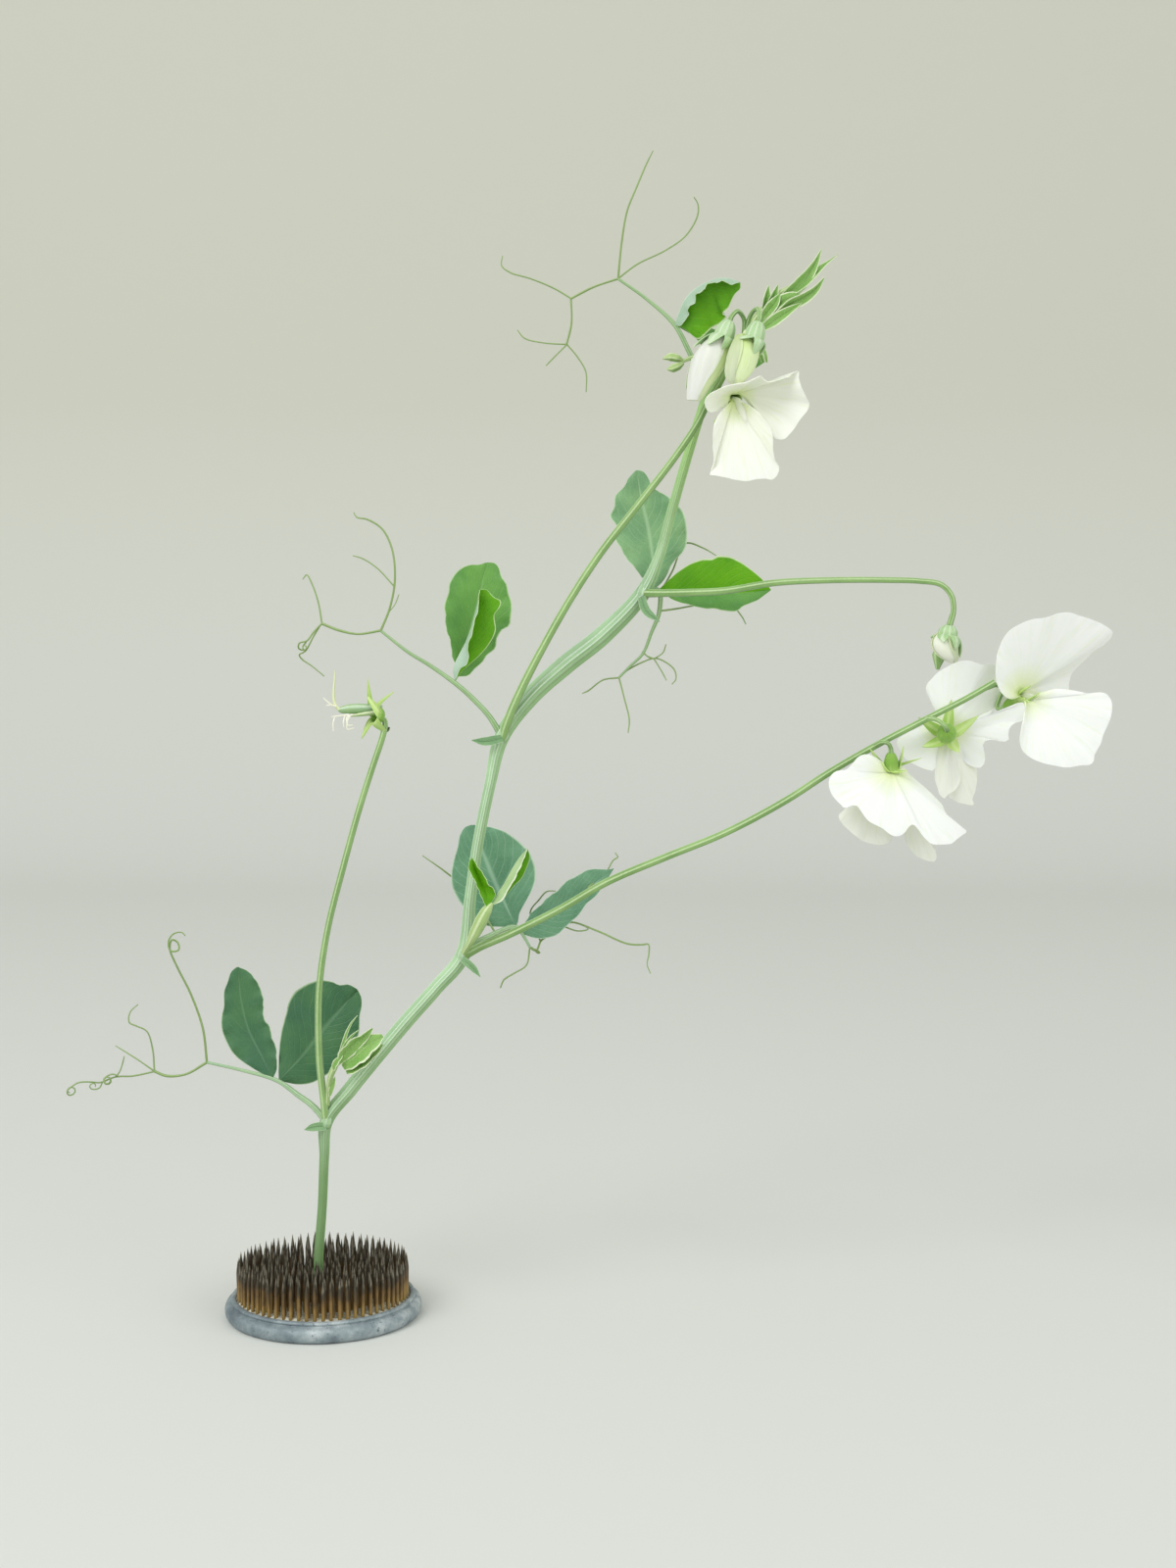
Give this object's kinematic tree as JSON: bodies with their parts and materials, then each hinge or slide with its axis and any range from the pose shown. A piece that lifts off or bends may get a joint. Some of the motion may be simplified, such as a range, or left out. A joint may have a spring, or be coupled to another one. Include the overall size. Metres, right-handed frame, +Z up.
{
  "type": "sweet pea flower spray in a pin holder",
  "caption": "Cut sweet pea spray with white flowers, buds, paired leaves and curling tendrils, standing upright on the pins of a round lead flower holder.",
  "frame": {"origin": "centre of the flower holder's flat underside, where it rests on the table", "axes": "+Z up along the height of the spray; +X to the side the spray leans towards; +Y away from the viewer that the spray is turned to"},
  "size_m": [0.3594, 0.0684, 0.3992],
  "materials": {
    "lead": "dull grey lead, mottled with a whitish bloom",
    "aged_brass": "aged brass pins, brown with dark tips",
    "stem_green": "soft green stem with paler ribs",
    "leaf_blue_green": "matt blue-green leaf with pale veins",
    "leaf_fresh_green": "matt fresh green leaf, paler beneath",
    "shoot_yellow_green": "bright yellow-green young shoot",
    "calyx_green": "pale green calyx with fine hairs",
    "bud_lime": "green-ivory closed petals",
    "petal_cream": "ivory closed petals, greener at the foot",
    "petal_white": "thin ivory white petal, green-yellow at the throat"
  },
  "bodies": {
    "root": {"holder_base": "lead", "holder_pins": "aged_brass", "main_stem": "stem_green", "flower_stalk_1": "stem_green", "flower_stalk_2": "stem_green", "flower_stalk_3": "stem_green", "flower_stalk_4": "stem_green", "leaf_1": "leaf_blue_green", "leaf_2": "leaf_blue_green", "young_pod": "leaf_blue_green", "leaf_3": "leaf_fresh_green", "leaf_4": "leaf_fresh_green", "leaf_5": "leaf_fresh_green", "side_shoot_1": "shoot_yellow_green", "side_shoot_2": "shoot_yellow_green", "tip_shoot": "shoot_yellow_green", "tiny_buds": "shoot_yellow_green", "bloom_a_calyx": "calyx_green", "bloom_a_standard": "petal_white", "bloom_a_wing_left": "petal_white", "bloom_a_wing_right": "petal_white", "bloom_a_keel": "petal_white", "bloom_b_calyx": "calyx_green", "bloom_b_standard": "petal_white", "bloom_b_wing_left": "petal_white", "bloom_b_wing_right": "petal_white", "bloom_b_keel": "petal_white", "bloom_c_calyx": "calyx_green", "bloom_c_standard": "petal_white", "bloom_c_wing_left": "petal_white", "bloom_c_wing_right": "petal_white", "bloom_c_keel": "petal_white", "bloom_d_calyx": "calyx_green", "bloom_d_standard": "petal_white", "bloom_d_wing_left": "petal_white", "bloom_d_wing_right": "petal_white", "bloom_d_keel": "petal_white", "bud_e1_calyx": "calyx_green", "bud_e2_calyx": "calyx_green", "bud_f_calyx": "calyx_green", "bud_e1_petals": "petal_cream", "bud_e2_petals": "petal_cream", "bud_f_petals": "bud_lime", "spent_calyx": "calyx_green"}
  },
  "joints": []
}
